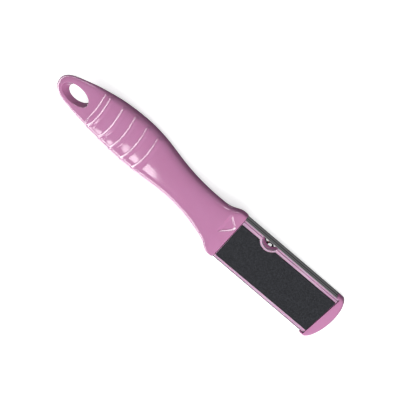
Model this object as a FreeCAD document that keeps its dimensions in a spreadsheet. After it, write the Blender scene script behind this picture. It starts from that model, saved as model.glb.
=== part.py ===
"""Two-sided foot file: a hollow two-shell handle with a hanging eyelet and grip
ridges, a head frame with a perforated steel rasp channel on the underside, and a
lift-out carrier with an emery sheet on the upper side.

The solids are drawn in the head's own axes: x along the head toward the nose, y
across it, z out of the emery face, zero at the middle of the emery face.  Every
sub-part then gets one and the same Placement, which sets the file down on its
grip belly and the nose, with the floor at z = 0.  Millimetres.
"""
import math
import os

import FreeCAD
import Part

V = FreeCAD.Vector
doc = FreeCAD.newDocument("foot_file")

# ---------------------------------------------------------------- sheet
sheet = doc.addObject("Spreadsheet::Sheet", "Sizes")
row_no = 0


def cell(alias, value):
    global row_no
    row_no += 1
    sheet.set("A%d" % row_no, alias)
    sheet.set("B%d" % row_no, repr(float(value)))
    sheet.setAlias("B%d" % row_no, alias)


for alias, value in (
    # emery sheet and its glue film
    ("emery_length", 84.0), ("emery_width", 32.6), ("emery_thick", 0.8), ("film_thick", 0.15),
    ("notch_x", -19.2), ("notch_y", 20.1), ("notch_radius_emery", 7.9),
    # lift-out carrier
    ("carrier_length", 84.8), ("carrier_width", 38.8), ("carrier_thick", 2.3), ("carrier_top", -0.95),
    ("rim_step_width", 1.25), ("rim_step_depth", 0.5), ("notch_radius_carrier", 6.6),
    ("skirt_thick", 1.0), ("skirt_depth", 2.4), ("skirt_edge", 18.6),
    ("peg_x", 40.4), ("peg_radius", 1.5), ("peg_length", 3.6), ("peg_gap", 0.12),
    # steel rasp channel
    ("steel_half_width", 20.1), ("steel_gauge", 0.5), ("steel_bottom", -10.9), ("steel_top", -1.4),
    ("steel_bend", 2.5), ("steel_length", 84.9), ("hole_radius", 1.5), ("hole_pitch_x", 7.0),
    ("hole_pitch_y", 4.9), ("rows_full", 11), ("rows_short", 10),
    # head frame
    ("frame_half_length", 42.6), ("rail_inner", 17.4), ("rail_outer", 19.5), ("rail_top", -3.35),
    ("rail_bottom", -8.2), ("ledge_length", 4.4), ("ledge_bottom", -8.8), ("rail_gap_half", 8.2),
    ("nose_keel", 1.4), ("nose_shift", -0.4), ("ear_gap", 0.06),
    # handle shell
    ("wall", 2.2), ("rib_height", 0.7), ("rib_width", 3.0), ("rib_first", -170.0), ("rib_pitch", 11.1),
    ("rib_lift", 4.5),
    ("rib_count", 5), ("eyelet_x", -191.6), ("eyelet_half_length", 10.4), ("eyelet_half_width", 5.9),
    ("flare_bottom", -18.6), ("flare_middle", -16.3), ("flare_top", -13.9), ("flare_mid_grow", 0.7), ("flare_grow", 2.6),
    ("rear_end", -50.5), ("seam_gap", 0.06), ("pin_radius", 2.0), ("pin_post_radius", 3.0),
    ("pin_length", 4.0), ("socket_radius", 3.6), ("pin_gap", 0.1),
    ("pin_x_grip", -163.0), ("pin_x_mid", -128.0), ("pin_x_neck", -84.0),
    # how the file lies on the floor
    ("rest_tilt", 5.9773), ("rest_x", 80.0174), ("rest_z", 15.2612),
):
    cell(alias, value)

# handle stations: position, half width, half thickness, centre height, squareness
HANDLE = (
    (-209.4, 1.6, 1.7, -16.9, 2.0), (-209.1, 2.9, 2.2, -16.9, 2.1), (-208.3, 4.7, 2.6, -16.9, 2.2),
    (-206.6, 6.8, 2.95, -16.9, 2.3), (-203.6, 9.05, 3.2, -17.05, 2.4), (-198.5, 11.2, 3.4, -17.45, 2.4),
    (-192.0, 13.05, 3.75, -18.15, 2.4), (-184.0, 15.05, 4.6, -19.05, 2.4), (-175.0, 16.55, 6.0, -20.05, 2.4),
    (-166.0, 17.85, 7.3, -20.65, 2.4), (-157.0, 18.7, 8.2, -20.85, 2.4), (-147.5, 19.2, 8.7, -20.8, 2.4),
    (-138.5, 19.3, 8.8, -20.65, 2.4), (-129.0, 18.75, 8.7, -20.15, 2.4), (-119.5, 17.7, 8.4, -19.15, 2.4),
    (-110.0, 16.1, 8.1, -17.8, 2.4), (-101.0, 14.7, 7.8, -16.35, 2.4), (-92.0, 13.95, 7.5, -14.7, 2.4),
    (-83.0, 13.85, 7.15, -12.9, 2.4), (-74.0, 14.45, 6.75, -10.85, 2.45), (-65.5, 15.6, 6.3, -8.7, 2.6),
    (-60.0, 16.55, 5.85, -7.35, 2.85), (-56.5, 17.6, 5.5, -6.5, 3.2), (-53.5, 19.05, 5.2, -5.75, 3.7),
    (-51.0, 20.55, 5.0, -5.2, 4.2), (-48.5, 21.65, 4.9, -4.95, 4.6), (-45.5, 22.0, 4.85, -4.9, 4.8),
    (-43.6, 21.85, 4.8, -4.9, 4.8), (-42.6, 21.4, 4.6, -4.85, 4.6), (-41.9, 21.0, 4.35, -4.85, 4.6),
)
# nose stations, same columns; the underside is deeper by the ratio nose_keel
NOSE = (
    (39.4, 21.6, 3.65, -3.9, 4.6), (40.0, 21.9, 3.8, -3.9, 4.6), (42.6, 22.05, 3.85, -3.9, 4.6),
    (43.6, 21.85, 3.85, -3.9, 4.6), (44.8, 21.1, 3.8, -3.9, 4.4), (46.3, 19.4, 3.7, -3.9, 4.0),
    (47.8, 16.5, 3.5, -3.9, 3.5), (49.2, 12.85, 3.2, -3.9, 3.0), (50.0, 9.6, 2.95, -3.9, 2.6),
    (50.45, 4.9, 2.6, -3.9, 2.3), (50.6, 1.8, 2.3, -3.9, 2.1),
)
for tag, table in (("handle", HANDLE), ("nose", NOSE)):
    for i, station in enumerate(table):
        for word, value in zip(("at", "wide", "thick", "high", "square"), station):
            cell("%s_%s_%02d" % (tag, word, i + 1), value)
doc.recompute()


def val(alias):
    return float(sheet.get(alias))


def stations(tag, count):
    return [tuple(val("%s_%s_%02d" % (tag, word, i + 1)) for word in ("at", "wide", "thick", "high", "square"))
            for i in range(count)]


# ---------------------------------------------------------------- lofted skins
POINTS = 36


def ring(x, wide, thick, high, square, keel=1.0):
    """Closed rounded section at one station; keel scales the depth below the middle."""
    pts = []
    for k in range(POINTS):
        a = 2 * math.pi * (k + 0.5) / POINTS
        c, s = math.cos(a), math.sin(a)
        r = (abs(c) ** square + abs(s) ** square) ** (-1.0 / square)
        pts.append(V(x, wide * r * c, high + thick * (keel if s < 0 else 1.0) * r * s))
    curve = Part.BSplineCurve()
    curve.interpolate(Points=pts, PeriodicFlag=True, Parameters=[float(k) for k in range(POINTS + 1)])
    return Part.Wire([curve.toShape()])


def loft(rows, keel=1.0):
    solid = Part.makeLoft([ring(*r, keel) for r in rows], True, False)
    if solid.Volume < 0:
        solid.reverse()
    return solid


def grown(rows, by):
    return [(x, w + by, t + by, h, q) for x, w, t, h, q in rows]


def at(rows, x, column):
    for a, b in zip(rows, rows[1:]):
        if a[0] <= x <= b[0]:
            f = (x - a[0]) / (b[0] - a[0])
            return a[column] + f * (b[column] - a[column])
    raise ValueError(x)


def box(x0, x1, y0, y1, z0, z1):
    return Part.makeBox(x1 - x0, y1 - y0, z1 - z0, V(x0, y0, z0))


def post(x, y, radius, z0, z1):
    return Part.makeCylinder(radius, z1 - z0, V(x, y, z0))


handle_rows = stations("handle", len(HANDLE))
nose_rows = stations("nose", len(NOSE))
end = val("frame_half_length")
outer = loft(handle_rows).cut(box(-end, 0, -40, 40, -40, 20))

# seam between the shells, along the middle of the handle
seam = [V(x, -40, h) for x, w, t, h, q in handle_rows if x < -48]
seam[0] = V(-215, -40, seam[0].z)
low = seam + [V(seam[-1].x, -40, -60), V(-215, -40, -60)]
under = Part.Face(Part.makePolygon(low + [low[0]])).extrude(V(0, 80, 0))
below = under.common(box(-215, val("rear_end"), -40, 40, -60, 20))

# grip ridges on the upper side: bands of a slightly fatter skin
fat = loft([r for r in grown(handle_rows, val("rib_height")) if -190 < r[0] < -105])
ribs = None
for i in range(int(val("rib_count"))):
    x = val("rib_first") + i * val("rib_pitch")
    band = fat.common(box(x - val("rib_width") / 2, x + val("rib_width") / 2, -40, 40, -60, 20))
    ribs = band if ribs is None else ribs.fuse(band)
smooth_side = under.copy()
smooth_side.translate(V(0, 0, val("rib_lift")))
ridged = outer.fuse(ribs.cut(smooth_side))

# hollow of the grip, neck and shoulder
hollow_rows = [r for r in grown(handle_rows, -val("wall")) if -178 < r[0] < -47]
hollow = loft(hollow_rows)

# eyelet: oval hole through the end of the handle, flared toward the upper side
def oval(grow, z):
    curve = Part.Ellipse(V(val("eyelet_x"), 0, z), val("eyelet_half_length") + grow, val("eyelet_half_width") + grow)
    return Part.Wire([curve.toShape()])


bore = Part.Face(oval(0, -40)).extrude(V(0, 0, 40))
flare = Part.makeLoft([oval(0, val("flare_bottom")), oval(val("flare_mid_grow"), val("flare_middle")),
                       oval(val("flare_grow"), val("flare_top"))], True, False)
flare = flare.fuse(Part.Face(oval(val("flare_grow"), val("flare_top"))).extrude(V(0, 0, 10)))

pin_xs = [val("pin_x_grip"), val("pin_x_mid"), val("pin_x_neck")]

# rear shell: lower half, with posts and locating pins
rear = ridged.common(below).cut(hollow)
for x in pin_xs:
    mid = at(handle_rows, x, 3)
    floor = mid - at(handle_rows, x, 2) + 1.2
    rear = rear.fuse(post(x, 0, val("pin_post_radius"), floor, mid - 0.3))
    rear = rear.fuse(post(x, 0, val("pin_radius"), mid - 0.6, mid - 0.3 + val("pin_length")))
rear = rear.cut(bore).cut(flare).removeSplitter()

# front shell: upper half, shoulder, head frame and nose
grow_below = below.copy()
grow_below.translate(V(val("seam_gap"), 0, val("seam_gap")))
front = ridged.cut(grow_below).cut(hollow)
for x in pin_xs:
    mid = at(handle_rows, x, 3)
    roof = mid + at(handle_rows, x, 2) - 1.2
    sleeve = post(x, 0, val("socket_radius"), mid, roof).cut(
        post(x, 0, val("pin_radius") + val("pin_gap"), mid - 1, mid + val("pin_length") + 0.3))
    front = front.fuse(sleeve)
front = front.cut(bore).cut(flare)

# the nose reaches back around the ends of the steel with two ears
nose = loft(nose_rows, val("nose_keel")).cut(box(0, val("nose_at_02"), -40, 40, -40, 20))
nose.translate(V(0, val("nose_shift"), 0))
ear = val("steel_half_width") + val("ear_gap")
nose = nose.cut(box(0, end, -ear, ear, -40, 20))
front = front.fuse(nose)
rail_in, rail_out = val("rail_inner"), val("rail_outer")
for side in (1, -1):
    y0, y1 = sorted((side * rail_in, side * rail_out))
    rail = box(-end - 1.2, end + 1.2, y0, y1, val("rail_bottom"), val("rail_top"))
    if side > 0:
        gap = val("rail_gap_half")
        rail = rail.cut(box(val("notch_x") - gap, val("notch_x") + gap, y0 - 1, y1 + 1, -20, 0))
    front = front.fuse(rail)
for x0, x1, peg in ((-end - 1.2, -end + val("ledge_length"), -val("peg_x")),
                    (end - val("ledge_length"), end + 1.2, val("peg_x"))):
    ledge = box(x0, x1, -rail_in - 0.2, rail_in + 0.2, val("ledge_bottom"), val("rail_top"))
    ledge = ledge.cut(post(peg, 0, val("peg_radius") + val("peg_gap"), val("rail_top") - val("peg_length") - 0.5, 0))
    front = front.fuse(ledge)
front = front.removeSplitter()


def keep(label, shape):
    obj = doc.addObject("Part::Feature", label)
    obj.Label = label
    obj.Shape = shape
    return obj


parts = [keep("handle_front_shell", front), keep("handle_rear_shell", rear)]


# ---------------------------------------------------------------- sketched bodies
def plane(body, role):
    for feature in body.Origin.OriginFeatures:
        if feature.Role == role:
            return feature
    raise LookupError(role)


def sketch_on(body, name, role, height=None):
    sk = body.newObject("Sketcher::SketchObject", name)
    sk.AttachmentSupport = [(plane(body, role), "")]
    sk.MapMode = "FlatFace"
    if height:
        sk.setExpression(".AttachmentOffset.Base.z", height)
    return sk


def edge(sk, a, b):
    return sk.addGeometry(Part.LineSegment(V(a[0], a[1], 0), V(b[0], b[1], 0)), False)


import Sketcher  # noqa: E402  (constraints only)


def bind(sk, kind, refs, value, expression):
    i = sk.addConstraint(Sketcher.Constraint(kind, *refs, value))
    sk.setExpression("Constraints[%d]" % i, expression)


def rectangle(sk, length, width):
    """Rectangle centred on the sketch origin, with its sides bound to the sheet."""
    hx, hy = val(length) / 2, val(width) / 2
    pts = [(-hx, -hy), (hx, -hy), (hx, hy), (-hx, hy)]
    g = [edge(sk, pts[i], pts[(i + 1) % 4]) for i in range(4)]
    for i in range(4):
        sk.addConstraint(Sketcher.Constraint("Coincident", g[i], 2, g[(i + 1) % 4], 1))
    for i, word in ((0, "Horizontal"), (2, "Horizontal"), (1, "Vertical"), (3, "Vertical")):
        sk.addConstraint(Sketcher.Constraint(word, g[i]))
    bind(sk, "DistanceX", (g[0], 1, g[0], 2), 2 * hx, "Sizes." + length)
    bind(sk, "DistanceY", (g[1], 1, g[1], 2), 2 * hy, "Sizes." + width)
    sk.addConstraint(Sketcher.Constraint("Symmetric", g[0], 1, g[2], 1, -1, 1))


def disc(sk, x, y, radius, x_name=None, y_name=None, r_name=None):
    g = sk.addGeometry(Part.Circle(V(x, y, 0), V(0, 0, 1), radius), False)
    if r_name:
        bind(sk, "Radius", (g,), radius, r_name)
    if x_name:
        bind(sk, "DistanceX", (-1, 1, g, 3), x, x_name)
    if y_name:
        bind(sk, "DistanceY", (-1, 1, g, 3), y, y_name)
    return g


def prism(body, sk, name, length, down=False):
    pad = body.newObject("PartDesign::Pad", name)
    pad.Profile = sk
    pad.setExpression("Length", length)
    pad.Reversed = down
    return pad


def cut_away(body, sk, name, length=None, up=False):
    pocket = body.newObject("PartDesign::Pocket", name)
    pocket.Profile = sk
    if length:
        pocket.setExpression("Length", length)
    else:
        pocket.Type = "ThroughAll"
        pocket.Midplane = True
    pocket.Reversed = up
    return pocket


def sheet_body(label, length, width, thick, height, notch):
    """Flat sheet with the half-round thumb notch in its edge."""
    body = doc.addObject("PartDesign::Body", label)
    body.Label = label
    sk = sketch_on(body, label + "_outline", "XY_Plane", height)
    rectangle(sk, length, width)
    prism(body, sk, label + "_sheet", thick)
    doc.recompute()
    bite = sketch_on(body, label + "_bite", "XY_Plane", height)
    disc(bite, val("notch_x"), val("notch_y"), val(notch), "Sizes.notch_x", "Sizes.notch_y", "Sizes." + notch)
    cut_away(body, bite, label + "_notch")
    doc.recompute()
    return body


emery = sheet_body("emery_sheet", "emery_length", "emery_width", "Sizes.emery_thick", "-Sizes.emery_thick",
                   "notch_radius_emery")
film = sheet_body("adhesive_film", "emery_length", "emery_width", "Sizes.film_thick",
                  "-Sizes.emery_thick - Sizes.film_thick", "notch_radius_emery")
carrier = sheet_body("pad_carrier", "carrier_length", "carrier_width", "Sizes.carrier_thick",
                     "Sizes.carrier_top - Sizes.carrier_thick", "notch_radius_carrier")

# stepped rim along both long edges of the carrier
for side in (1, -1):
    sk = sketch_on(carrier, "rim_step_%s" % ("left" if side > 0 else "right"), "XY_Plane", "Sizes.carrier_top")
    ya = side * (val("carrier_width") / 2 - val("rim_step_width"))
    yb = side * (val("carrier_width") / 2 + 2)
    hx = val("carrier_length") / 2 + 2
    pts = [(-hx, ya), (hx, ya), (hx, yb), (-hx, yb)]
    for i in range(4):
        edge(sk, pts[i], pts[(i + 1) % 4])
    cut_away(carrier, sk, "rim_cut_%s" % ("left" if side > 0 else "right"), "Sizes.rim_step_depth")
    doc.recompute()

# half-round finger well hanging under the notch
sk = sketch_on(carrier, "well_wall", "XY_Plane", "Sizes.carrier_top - Sizes.carrier_thick")
cx, cy = val("notch_x"), val("notch_y")
r0, r1 = val("notch_radius_carrier"), val("notch_radius_carrier") + val("skirt_thick")
drop = cy - val("skirt_edge")
a0, a1 = math.asin(drop / r0), math.asin(drop / r1)
arcs = []
for r, a in ((r0, a0), (r1, a1)):
    circle = Part.Circle(V(cx, cy, 0), V(0, 0, 1), r)
    sk.addGeometry(Part.ArcOfCircle(circle, math.pi + a, 2 * math.pi - a), False)
    arcs.append(((cx - r * math.cos(a), cy - r * math.sin(a)), (cx + r * math.cos(a), cy - r * math.sin(a))))
edge(sk, arcs[0][0], arcs[1][0])
edge(sk, arcs[0][1], arcs[1][1])
prism(carrier, sk, "well", "Sizes.skirt_depth", True)
doc.recompute()

# locating pegs under both ends of the carrier
sk = sketch_on(carrier, "peg_circles", "XY_Plane", "Sizes.carrier_top - Sizes.carrier_thick")
disc(sk, val("peg_x"), 0, val("peg_radius"), "Sizes.peg_x", None, "Sizes.peg_radius")
disc(sk, -val("peg_x"), 0, val("peg_radius"), "-Sizes.peg_x", None, "Sizes.peg_radius")
prism(carrier, sk, "pegs", "Sizes.peg_length", True)
doc.recompute()

# steel channel: bent profile drawn across the head, drawn out along it
rasp = doc.addObject("PartDesign::Body", "rasp_channel")
rasp.Label = "rasp_channel"
sk = sketch_on(rasp, "channel_profile", "YZ_Plane")
w, g, zb, zt, rb = (val(n) for n in ("steel_half_width", "steel_gauge", "steel_bottom", "steel_top", "steel_bend"))
ri = rb - g
edge(sk, (-w, zt), (-w, zb + rb))
sk.addGeometry(Part.ArcOfCircle(Part.Circle(V(-w + rb, zb + rb, 0), V(0, 0, 1), rb), math.pi, 1.5 * math.pi), False)
edge(sk, (-w + rb, zb), (w - rb, zb))
sk.addGeometry(Part.ArcOfCircle(Part.Circle(V(w - rb, zb + rb, 0), V(0, 0, 1), rb), 1.5 * math.pi, 2 * math.pi), False)
edge(sk, (w, zb + rb), (w, zt))
edge(sk, (w, zt), (w - g, zt))
edge(sk, (w - g, zt), (w - g, zb + rb))
sk.addGeometry(Part.ArcOfCircle(Part.Circle(V(w - rb, zb + rb, 0), V(0, 0, 1), ri), 1.5 * math.pi, 2 * math.pi), False)
edge(sk, (w - rb, zb + g), (-w + rb, zb + g))
sk.addGeometry(Part.ArcOfCircle(Part.Circle(V(-w + rb, zb + rb, 0), V(0, 0, 1), ri), math.pi, 1.5 * math.pi), False)
edge(sk, (-w + g, zb + rb), (-w + g, zt))
edge(sk, (-w + g, zt), (-w, zt))
channel = prism(rasp, sk, "channel", "Sizes.steel_length")
channel.Midplane = True
doc.recompute()

# staggered rows of rasp perforations
for tag, count, across, start in (("full", "rows_full", 7, -(val("rows_full") - 1) / 2),
                                  ("short", "rows_short", 6, -(val("rows_short") - 1) / 2)):
    sk = sketch_on(rasp, "holes_" + tag, "XY_Plane", "Sizes.steel_bottom")
    for k in range(across):
        disc(sk, start * val("hole_pitch_x"), (k - (across - 1) / 2) * val("hole_pitch_y"), val("hole_radius"))
    pocket = cut_away(rasp, sk, "punch_" + tag, "2 * Sizes.steel_gauge", True)
    rasp.Tip = pocket
    doc.recompute()
    rows = rasp.newObject("PartDesign::LinearPattern", "rows_of_" + tag)
    rows.Originals = [pocket]
    rows.Direction = (plane(rasp, "X_Axis"), [""])
    rows.setExpression("Length", "(Sizes.%s - 1) * Sizes.hole_pitch_x" % count)
    rows.setExpression("Occurrences", "Sizes." + count)
    rasp.Tip = rows
    doc.recompute()

parts += [rasp, carrier, film, emery]

# ---------------------------------------------------------------- set down on the floor
rest = FreeCAD.Placement(V(val("rest_x"), 0, val("rest_z")), FreeCAD.Rotation(V(0, 1, 0), val("rest_tilt")))
for obj in parts:
    obj.Placement = rest
doc.recompute()

# ---------------------------------------------------------------- test and write
os.makedirs("parts", exist_ok=True)
for obj in doc.Objects:
    if "Invalid" in obj.State or "Error" in obj.State:
        raise RuntimeError("%s is %s" % (obj.Label, obj.State))
for obj in parts:
    shape = obj.Shape
    if shape.isNull() or not shape.isValid():
        raise RuntimeError("%s has no valid shape" % obj.Label)
    if len(shape.Solids) != 1:
        raise RuntimeError("%s has %d solids" % (obj.Label, len(shape.Solids)))
    shape.exportStep("parts/%s.step" % obj.Label)
    b = shape.BoundBox
    print("%-20s %9.1f mm3  x %.2f %.2f  y %.2f %.2f  z %.2f %.2f" % (
        obj.Label, shape.Volume, b.XMin, b.XMax, b.YMin, b.YMax, b.ZMin, b.ZMax))
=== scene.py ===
"""Looks of the foot file: moulded pink handle with ridged grip and flared eyelet,
emery pad on a lift-out carrier, and a punched steel rasp channel.

Shapes are laid out in the head's own axes in millimetres (x along the head toward the
nose, y toward the thumb notch, z out of the emery face) and carried into the row frame.
"""

import math

import bmesh
import bpy
import numpy as np
from mathutils import Matrix, Quaternion, Vector


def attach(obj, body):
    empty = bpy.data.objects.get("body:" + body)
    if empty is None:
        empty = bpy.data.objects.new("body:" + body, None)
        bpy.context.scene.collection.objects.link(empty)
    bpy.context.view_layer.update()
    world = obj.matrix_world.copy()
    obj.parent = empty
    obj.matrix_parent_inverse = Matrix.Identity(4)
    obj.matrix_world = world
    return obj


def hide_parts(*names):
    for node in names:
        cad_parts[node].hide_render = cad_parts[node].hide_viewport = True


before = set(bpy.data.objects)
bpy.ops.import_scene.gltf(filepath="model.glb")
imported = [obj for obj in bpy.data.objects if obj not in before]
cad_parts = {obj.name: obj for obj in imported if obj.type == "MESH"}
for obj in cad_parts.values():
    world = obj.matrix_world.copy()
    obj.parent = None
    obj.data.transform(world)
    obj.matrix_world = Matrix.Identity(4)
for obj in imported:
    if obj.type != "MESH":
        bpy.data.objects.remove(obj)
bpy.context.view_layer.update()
rng = np.random.default_rng(7)
WORLD = 0.55

TILT = math.radians(5.9773)
SHIFT = np.array([80.0174, 0.0, 15.2612])
TURN = np.array([[math.cos(TILT), 0.0, math.sin(TILT)], [0.0, 1.0, 0.0], [-math.sin(TILT), 0.0, math.cos(TILT)]])


def row(points):
    """Head axes in mm to the row frame in m."""
    return (np.asarray(points, float) @ TURN.T + SHIFT) / 1000.0


# ------------------------------------------------------------------ numbers
# position, half width, half thickness, centre height, squareness
HANDLE = np.array([
    (-209.4, 1.6, 3.2, -16.9, 2.7), (-206.6, 6.8, 3.2, -16.9, 2.7), (-203.6, 9.05, 3.2, -17.05, 2.7),
    (-198.5, 11.2, 3.4, -17.45, 2.7), (-192.0, 13.05, 3.75, -18.15, 2.7), (-184.0, 15.05, 4.6, -19.05, 2.7),
    (-175.0, 16.55, 6.0, -20.05, 2.7), (-166.0, 17.85, 7.3, -20.65, 2.7), (-157.0, 18.7, 8.2, -20.85, 2.7),
    (-147.5, 19.2, 8.7, -20.8, 2.7), (-138.5, 19.3, 8.8, -20.65, 2.7), (-129.0, 18.75, 8.7, -20.15, 2.7),
    (-119.5, 17.7, 8.4, -19.15, 2.7), (-110.0, 16.1, 8.1, -17.8, 2.7), (-101.0, 14.7, 7.8, -16.35, 2.7),
    (-92.0, 13.95, 7.5, -14.7, 2.7), (-83.0, 13.85, 7.15, -12.9, 2.7), (-74.0, 14.45, 6.75, -10.85, 2.75),
    (-65.5, 15.6, 6.3, -8.7, 2.85), (-60.0, 16.55, 5.85, -7.35, 3.05), (-56.5, 17.6, 5.5, -6.5, 3.2),
    (-53.5, 19.05, 5.2, -5.75, 3.7), (-51.0, 20.55, 5.0, -5.2, 4.2), (-48.5, 21.65, 4.9, -4.95, 4.6),
    (-45.5, 22.0, 4.85, -4.9, 4.8), (-43.6, 21.85, 4.8, -4.9, 4.8), (-42.6, 21.6, 4.75, -4.9, 4.8),
])
TIP = [(-209.38, 0.0), (-209.2, 2.35), (-208.3, 4.7), (-206.6, 6.8), (-203.6, 9.05), (-198.5, 11.2),
       (-192.0, 13.05), (-184.0, 15.05)]
JOIN = -176.0          # where the eyelet end meets the grip
REAR_END = -50.5
HEAD = 42.6
EYE_X = -191.6
# place, half length and half width of the hole at the upper face, the lower face and the seam
EYE_RIM = {1: (-192.9, 11.4, 6.9), -1: (-192.1, 9.1, 5.9)}
EYE_SEAM = (-192.3, 10.3, 6.4)
RIDGES = [-169.4, -157.6, -146.6, -135.5, -124.9]      # crowns of the bowed grip ridges
ACROSS = 160
NOTCH = (-19.2, 20.1)


def natural(t, y, u):
    """Natural cubic through (t, y), read at u."""
    t, y, u = (np.asarray(k, float) for k in (t, y, u))
    h = np.diff(t)
    n = len(t)
    a = np.zeros((n, n))
    b = np.zeros(n)
    a[0, 0] = a[-1, -1] = 1.0
    for i in range(1, n - 1):
        a[i, i - 1], a[i, i], a[i, i + 1] = h[i - 1], 2 * (h[i - 1] + h[i]), h[i]
        b[i] = 6 * ((y[i + 1] - y[i]) / h[i] - (y[i] - y[i - 1]) / h[i - 1])
    m = np.linalg.solve(a, b)
    k = np.clip(np.searchsorted(t, u) - 1, 0, n - 2)
    d0, d1 = u - t[k], t[k + 1] - u
    return (m[k] * d1 ** 3 + m[k + 1] * d0 ** 3) / (6 * h[k]) + (y[k] / h[k] - m[k] * h[k] / 6) * d1 \
        + (y[k + 1] / h[k] - m[k + 1] * h[k] / 6) * d0


def measure(x):
    """Half width, half thickness, centre height and squareness of the handle at x."""
    x = np.clip(x, HANDLE[0, 0], HANDLE[-1, 0])
    return [natural(HANDLE[:, 0], HANDLE[:, c], x) for c in (1, 2, 3, 4)]


def ease(lo, hi, x):
    t = np.clip((np.asarray(x, float) - lo) / (hi - lo), 0.0, 1.0)
    return t * t * (3 - 2 * t)


# ------------------------------------------------------------------ meshes
class Skin:
    """Collects points and faces, then becomes one closed mesh."""

    def __init__(self):
        self.points, self.faces, self.count = [], [], 0

    def add(self, pts):
        pts = np.asarray(pts, float)
        flat = pts.reshape(-1, 3)
        self.points.append(flat)
        index = np.arange(self.count, self.count + len(flat)).reshape(pts.shape[:-1])
        self.count += len(flat)
        return index

    def quads(self, idx, around=False):
        """Faces of a grid of point numbers; around closes the second direction."""
        if around:
            idx = np.concatenate([idx, idx[:, :1]], axis=1)
        q = np.stack([idx[:-1, :-1], idx[1:, :-1], idx[1:, 1:], idx[:-1, 1:]], -1).reshape(-1, 4)
        self.faces += q.tolist()

    def face(self, *loops):
        self.faces.append([int(i) for loop in loops for i in loop])

    def make(self, name, sharp=32.0, weld=1e-6):
        me = bpy.data.meshes.new(name)
        pts = row(np.concatenate(self.points))
        clean = []
        for f in self.faces:
            f = [k for i, k in enumerate(f) if k != f[i - 1]]
            if len(f) > 2:
                clean.append(f)
        me.from_pydata(pts.tolist(), [], clean)
        bm = bmesh.new()
        bm.from_mesh(me)
        bmesh.ops.remove_doubles(bm, verts=bm.verts, dist=weld)
        bmesh.ops.dissolve_degenerate(bm, edges=bm.edges, dist=1e-7)
        bmesh.ops.recalc_face_normals(bm, faces=bm.faces)
        if bm.calc_volume(signed=True) < 0:
            bmesh.ops.reverse_faces(bm, faces=bm.faces)
        bm.to_mesh(me)
        bm.free()
        me.polygons.foreach_set("use_smooth", [True] * len(me.polygons))
        me.set_sharp_from_angle(angle=math.radians(sharp))
        ob = bpy.data.objects.new(name, me)
        bpy.context.scene.collection.objects.link(ob)
        return ob


def smooth_again(ob, sharp=32.0):
    ob.data.polygons.foreach_set("use_smooth", [True] * len(ob.data.polygons))
    ob.data.set_sharp_from_angle(angle=math.radians(sharp))


def carve(ob, cutter, how="DIFFERENCE", sharp=32.0):
    """Boolean of two closed meshes, applied at once."""
    mod = ob.modifiers.new("carve", "BOOLEAN")
    mod.operation, mod.solver, mod.object = how, "EXACT", cutter
    dg = bpy.context.evaluated_depsgraph_get()
    me = bpy.data.meshes.new_from_object(ob.evaluated_get(dg))
    ob.modifiers.clear()
    old = ob.data
    ob.data = me
    me.name = old.name
    bpy.data.meshes.remove(old)
    bpy.data.objects.remove(cutter)
    bm = bmesh.new()
    bm.from_mesh(me)
    bmesh.ops.remove_doubles(bm, verts=bm.verts, dist=4e-6)
    bmesh.ops.dissolve_degenerate(bm, edges=bm.edges, dist=2e-6)
    bmesh.ops.triangulate(bm, faces=[k for k in bm.faces if len(k.verts) > 4])
    bm.to_mesh(me)
    bm.free()
    smooth_again(ob, sharp)
    return ob


def block(name, x0, x1, y0, y1, z0, z1, bevel=0.25, segments=3):
    """Box with rounded edges."""
    s = Skin()
    c = s.add([(x, y, z) for x in (x0, x1) for y in (y0, y1) for z in (z0, z1)])
    for f in ((0, 1, 3, 2), (4, 6, 7, 5), (0, 4, 5, 1), (2, 3, 7, 6), (0, 2, 6, 4), (1, 5, 7, 3)):
        s.face(c[list(f)])
    ob = s.make(name)
    if bevel:
        bm = bmesh.new()
        bm.from_mesh(ob.data)
        bmesh.ops.bevel(bm, geom=bm.edges[:], offset=bevel / 1000, segments=segments, profile=0.5, affect="EDGES",
                        clamp_overlap=True)
        bm.to_mesh(ob.data)
        bm.free()
        smooth_again(ob, 40)
    return ob


def merge(name, *obs):
    """Several meshes become one."""
    bm = bmesh.new()
    for ob in obs:
        bm.from_mesh(ob.data)
    me = bpy.data.meshes.new(name)
    bm.to_mesh(me)
    bm.free()
    for ob in obs:
        old = ob.data
        bpy.data.objects.remove(ob)
        bpy.data.meshes.remove(old)
    ob = bpy.data.objects.new(name, me)
    bpy.context.scene.collection.objects.link(ob)
    smooth_again(ob, 34)
    return ob


# ------------------------------------------------------------------ handle shells
def ridge_height(x, y):
    """Raised grip field with five bowed ridges, steep toward the handle end."""
    bow = 0.0092 * (y - 6.0) ** 2
    up = np.clip(x + bow + 174.8, 0, 1)
    up = 0.75 * up + 0.25 * up * up * (3 - 2 * up)
    h = up * (0.50 - 0.28 * ease(-174.0, -165.0, x + bow))
    for c in RIDGES:
        u = x + bow - c
        up = np.clip((u + 1.0) / 1.25, 0, 1)
        up = 0.75 * up + 0.25 * up * up * (3 - 2 * up)
        down = 1 - 0.68 * ease(0.45, 3.2, u) - 0.32 * np.clip((u - 2.4) / 7.4, 0, 1)
        h = h + 0.64 * up * down
    return h * np.clip((x + 176.0) / 0.8, 0, 1) * (1 - ease(-123.5, -121.0, x + 0.5 * bow))


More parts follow.
